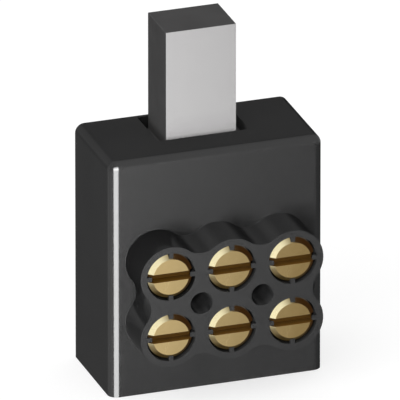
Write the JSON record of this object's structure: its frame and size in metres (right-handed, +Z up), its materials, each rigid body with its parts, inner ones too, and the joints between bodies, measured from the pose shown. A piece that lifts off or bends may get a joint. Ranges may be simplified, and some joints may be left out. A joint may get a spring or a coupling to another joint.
{
  "type": "distribution terminal block",
  "caption": "Distribution terminal block with a moulded housing, a lobed boss of slotted brass clamp screws, conductor tunnels below and a flat plug-in tang on top.",
  "frame": {"origin": "middle of the overall outline, on the plane of the base rim", "axes": "+Z up along the tang, -Y out of the screw boss at the front, +X to the right seen from the front"},
  "size_m": [0.034, 0.0236, 0.0555],
  "materials": {
    "housing": "satin",
    "contact_block": "tin plated, satin",
    "screw": "turned"
  },
  "bodies": {
    "block": {"housing": "housing", "contact_block": "contact_block"},
    "upper_left_screw": {"upper_left_screw": "screw"},
    "upper_middle_screw": {"upper_middle_screw": "screw"},
    "upper_right_screw": {"upper_right_screw": "screw"},
    "lower_left_screw": {"lower_left_screw": "screw"},
    "lower_middle_screw": {"lower_middle_screw": "screw"},
    "lower_right_screw": {"lower_right_screw": "screw"}
  },
  "joints": [
    {"name": "upper_left_feed", "type": "slide", "parent": "block", "child": "upper_left_screw", "axis": [0, 1, 0], "range_m": [0, 0.006]},
    {"name": "upper_middle_feed", "type": "slide", "parent": "block", "child": "upper_middle_screw", "axis": [0, 1, 0], "range_m": [0, 0.006]},
    {"name": "upper_right_feed", "type": "slide", "parent": "block", "child": "upper_right_screw", "axis": [0, 1, 0], "range_m": [0, 0.006]},
    {"name": "lower_left_feed", "type": "slide", "parent": "block", "child": "lower_left_screw", "axis": [0, 1, 0], "range_m": [0, 0.006]},
    {"name": "lower_middle_feed", "type": "slide", "parent": "block", "child": "lower_middle_screw", "axis": [0, 1, 0], "range_m": [0, 0.006]},
    {"name": "lower_right_feed", "type": "slide", "parent": "block", "child": "lower_right_screw", "axis": [0, 1, 0], "range_m": [0, 0.006]}
  ]
}
